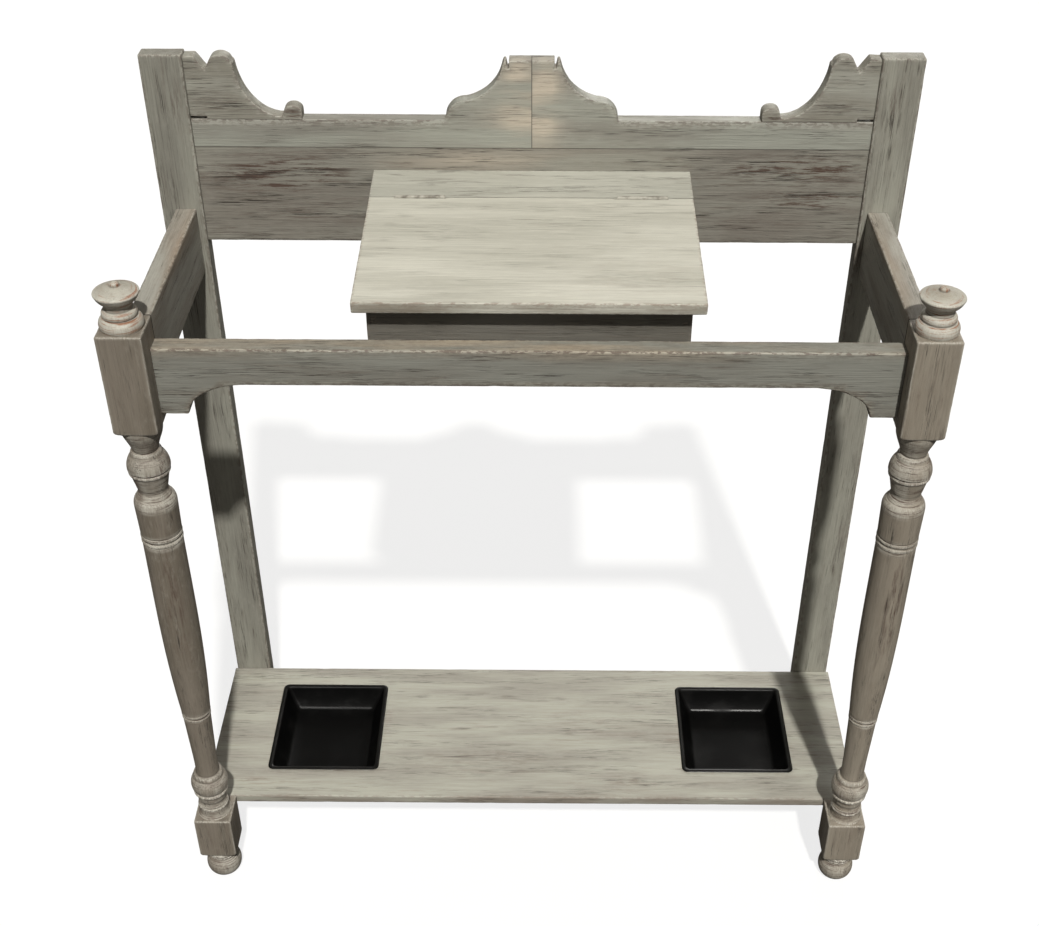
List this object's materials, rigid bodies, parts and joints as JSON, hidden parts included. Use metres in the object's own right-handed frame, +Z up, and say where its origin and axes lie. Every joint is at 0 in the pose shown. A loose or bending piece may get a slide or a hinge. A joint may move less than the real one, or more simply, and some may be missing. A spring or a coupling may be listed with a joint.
{
  "type": "hall stand",
  "caption": "Hall stand for sticks and umbrellas with turned front legs, shaped back, lidded glove box and lift-out drip trays",
  "frame": {"origin": "on the floor under the middle of the stand, halfway between the leg blocks' fronts and the posts' backs", "axes": "+X to the right of a person facing the stand, +Y to the wall behind it, +Z up; the front faces -Y"},
  "size_m": [0.77, 0.278, 0.9],
  "materials": {
    "painted_wood": "satin",
    "pale_painted_wood": "satin",
    "bare_wood": "matte",
    "tray_iron": "satin",
    "hinge_steel": "satin"
  },
  "bodies": {
    "frame": {"back_post_left": "painted_wood", "back_post_right": "painted_wood", "back_board": "painted_wood", "crest_board_left": "painted_wood", "crest_board_right": "painted_wood", "scroll_bracket_left": "painted_wood", "scroll_bracket_right": "painted_wood", "side_rail_left": "painted_wood", "side_rail_right": "painted_wood", "front_rail": "painted_wood", "front_leg_left": "painted_wood", "front_leg_right": "painted_wood", "finial_left": "pale_painted_wood", "finial_right": "pale_painted_wood", "bottom_shelf": "pale_painted_wood", "box_front": "painted_wood", "box_side_left": "painted_wood", "box_side_right": "painted_wood", "box_back": "painted_wood", "box_bottom": "painted_wood", "hinge_strip": "pale_painted_wood", "fixed_leaf_left": "hinge_steel", "fixed_leaf_right": "hinge_steel", "hinge_pin_left": "hinge_steel", "hinge_pin_right": "hinge_steel", "fixed_leaf_screws": "hinge_steel", "board_dowels": "bare_wood", "crest_dowels": "bare_wood", "bracket_dowels": "bare_wood", "rail_dowels": "bare_wood", "shelf_dowels": "bare_wood", "shelf_screws": "hinge_steel", "box_nails": "hinge_steel"},
    "lid": {"lid": "pale_painted_wood", "moving_leaf_left": "hinge_steel", "moving_leaf_right": "hinge_steel", "moving_leaf_screws": "hinge_steel"},
    "tray_left": {"drip_tray_left": "tray_iron"},
    "tray_right": {"drip_tray_right": "tray_iron"}
  },
  "joints": [
    {"name": "lid_hinge", "type": "hinge", "parent": "frame", "child": "lid", "pos_m": [0, 0.06917, 0.77867], "axis": [-1, 0, 0], "range_deg": [0, 119]},
    {"name": "tray_left_lift", "type": "slide", "parent": "frame", "child": "tray_left", "axis": [0, 0, 1], "range_m": [0, 0.85]},
    {"name": "tray_right_lift", "type": "slide", "parent": "frame", "child": "tray_right", "axis": [0, 0, 1], "range_m": [0, 0.85]}
  ]
}
